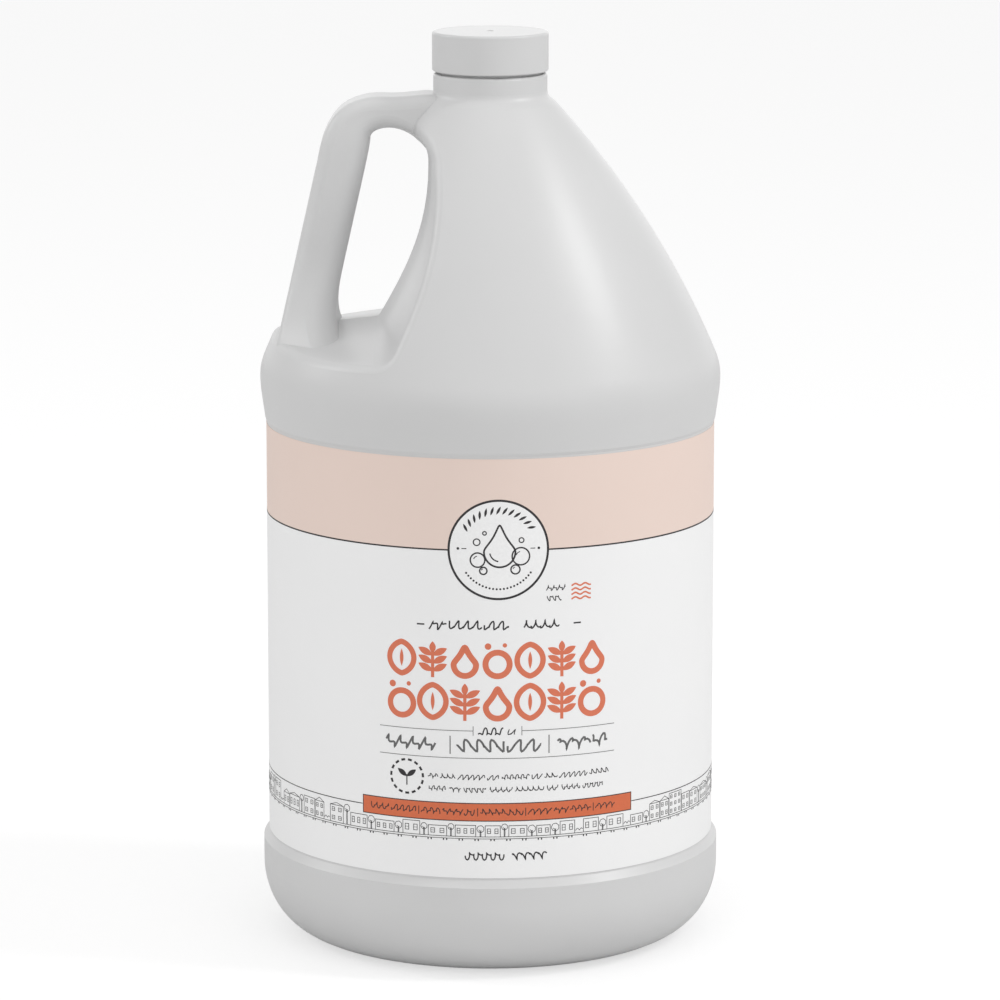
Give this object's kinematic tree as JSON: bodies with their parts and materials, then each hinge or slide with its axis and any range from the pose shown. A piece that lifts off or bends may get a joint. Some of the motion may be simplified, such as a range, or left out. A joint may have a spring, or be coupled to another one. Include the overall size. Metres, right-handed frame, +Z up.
{
  "type": "shampoo bottle",
  "caption": "Round one-gallon jug with a hollow side handle, a conical shoulder, a screw cap with a liner, and a wrap-around label.",
  "frame": {"origin": "centre of the standing ring, on the axis of the neck, at the height of the surface it stands on", "axes": "+Z up along the neck; the handle is on the -X side, in the mould's parting plane Y = 0; the label's front faces -Y"},
  "size_m": [0.157, 0.157, 0.3105],
  "materials": {
    "bottle": "white blow-moulded polyethylene, satin",
    "cap": "white moulded polypropylene, satin",
    "liner": "white closed-cell foam",
    "label": "printed film label, satin"
  },
  "bodies": {
    "bottle": {"bottle": "bottle", "label": "label"},
    "liner": {"cap_liner": "liner"},
    "cap": {"cap": "cap"}
  },
  "joints": [
    {"name": "cap_lift", "type": "slide", "parent": "bottle", "child": "liner", "axis": [0, 0, 1], "range_m": [0, 0.0128]},
    {"name": "cap_turn", "type": "hinge", "parent": "liner", "child": "cap", "pos_m": [0, 0, 0.3], "axis": [0, 0, 1], "range_deg": [0, 1080]}
  ],
  "couplings": [
    {"joint": "cap_lift", "follows": "cap_turn", "m_per_rad": 0.00067376}
  ]
}
